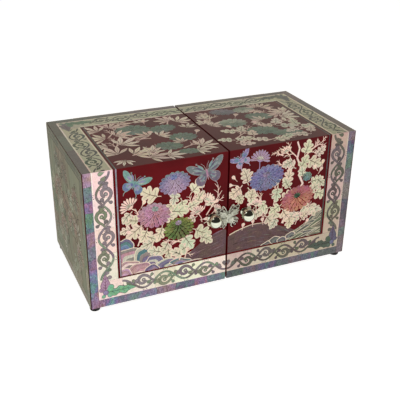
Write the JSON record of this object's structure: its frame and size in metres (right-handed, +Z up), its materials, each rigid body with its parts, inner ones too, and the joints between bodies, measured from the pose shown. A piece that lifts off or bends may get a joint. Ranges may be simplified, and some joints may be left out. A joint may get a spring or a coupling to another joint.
{
  "type": "double lacquer box",
  "caption": "Mother-of-pearl lacquer box twice as long as deep, with two L-shaped hinged covers over lined trays and drawers, ball knobs and a butterfly fitting.",
  "frame": {"origin": "on the floor, under the middle of the whole outline with knobs and hinges", "axes": "+X along the long side towards the right cover, -Y towards the front, +Z up"},
  "size_m": [0.3, 0.1732, 0.155],
  "materials": {
    "red_lacquer": "deep red high-gloss lacquer over a wood core",
    "nacre_veneer": "mother-of-pearl inlay and veneer under clear gloss lacquer",
    "dark_lacquer": "dark red-brown satin lacquer",
    "drawer_wood": "stained wood, satin",
    "velvet": "wine-red velvet",
    "felt": "black felt",
    "mirror_glass": "silvered glass",
    "polished_silver": "mirror-polished plating",
    "antique_silver": "cast, antiqued silver tone",
    "brass": "polished brass",
    "steel_fasteners": "plated steel",
    "black_rubber": "matte black"
  },
  "bodies": {
    "carcass": {"back_panel": "dark_lacquer", "bottom_board": "dark_lacquer", "centre_partition": "dark_lacquer", "cover_bumpers": "felt", "drawer_shelf_left": "dark_lacquer", "drawer_shelf_right": "dark_lacquer", "foot_back_left": "black_rubber", "foot_back_right": "black_rubber", "foot_front_left": "black_rubber", "foot_front_right": "black_rubber", "foot_screws": "steel_fasteners", "hinge_body_leaf_left_inner": "brass", "hinge_body_leaf_left_outer": "brass", "hinge_body_leaf_right_inner": "brass", "hinge_body_leaf_right_outer": "brass", "hinge_pins": "brass", "hinge_screws_body": "steel_fasteners", "ring_rolls": "velvet", "side_panel_left": "nacre_veneer", "side_panel_right": "nacre_veneer", "tray_dividers": "velvet", "tray_floor_left": "dark_lacquer", "tray_floor_right": "dark_lacquer", "tray_lining_left": "velvet", "tray_lining_right": "velvet", "tray_rail_left": "dark_lacquer", "tray_rail_right": "dark_lacquer"},
    "cover_left": {"butterfly_wing_left": "antique_silver", "cover_front_left": "red_lacquer", "cover_knob_left": "polished_silver", "cover_knob_screw_left": "steel_fasteners", "cover_top_left": "red_lacquer", "hinge_cover_leaf_left_inner": "brass", "hinge_cover_leaf_left_outer": "brass", "hinge_screws_cover_left": "steel_fasteners", "mirror_frame_left": "dark_lacquer", "mirror_glass_left": "mirror_glass"},
    "cover_right": {"butterfly_wing_right": "antique_silver", "cover_front_right": "red_lacquer", "cover_knob_right": "polished_silver", "cover_knob_screw_right": "steel_fasteners", "cover_top_right": "red_lacquer", "hinge_cover_leaf_right_inner": "brass", "hinge_cover_leaf_right_outer": "brass", "hinge_screws_cover_right": "steel_fasteners", "mirror_frame_right": "dark_lacquer", "mirror_glass_right": "mirror_glass"},
    "drawer_upper_left": {"drawer_box_upper_left": "drawer_wood", "drawer_front_upper_left": "dark_lacquer", "drawer_knob_upper_left": "brass"},
    "drawer_lower_left": {"drawer_box_lower_left": "drawer_wood", "drawer_front_lower_left": "dark_lacquer", "drawer_knob_lower_left": "brass"},
    "drawer_upper_right": {"drawer_box_upper_right": "drawer_wood", "drawer_front_upper_right": "dark_lacquer", "drawer_knob_upper_right": "brass"},
    "drawer_lower_right": {"drawer_box_lower_right": "drawer_wood", "drawer_front_lower_right": "dark_lacquer", "drawer_knob_lower_right": "brass"}
  },
  "joints": [
    {"name": "cover_left_hinge", "type": "hinge", "parent": "carcass", "child": "cover_left", "pos_m": [-0.071, 0.08303, 0.146], "axis": [-1, 0, 0], "range_deg": [0, 112]},
    {"name": "cover_right_hinge", "type": "hinge", "parent": "carcass", "child": "cover_right", "pos_m": [0.071, 0.08303, 0.146], "axis": [-1, 0, 0], "range_deg": [0, 112]},
    {"name": "drawer_upper_left_slide", "type": "slide", "parent": "carcass", "child": "drawer_upper_left", "axis": [0, -1, 0], "range_m": [0, 0.085]},
    {"name": "drawer_lower_left_slide", "type": "slide", "parent": "carcass", "child": "drawer_lower_left", "axis": [0, -1, 0], "range_m": [0, 0.085]},
    {"name": "drawer_upper_right_slide", "type": "slide", "parent": "carcass", "child": "drawer_upper_right", "axis": [0, -1, 0], "range_m": [0, 0.085]},
    {"name": "drawer_lower_right_slide", "type": "slide", "parent": "carcass", "child": "drawer_lower_right", "axis": [0, -1, 0], "range_m": [0, 0.085]}
  ],
  "couplings": [
    {"joint": "drawer_upper_left_slide", "follows": "cover_left_hinge", "m_per_rad": 0.0434},
    {"joint": "drawer_lower_left_slide", "follows": "cover_left_hinge", "m_per_rad": 0.0434},
    {"joint": "drawer_upper_right_slide", "follows": "cover_right_hinge", "m_per_rad": 0.0434},
    {"joint": "drawer_lower_right_slide", "follows": "cover_right_hinge", "m_per_rad": 0.0434}
  ]
}
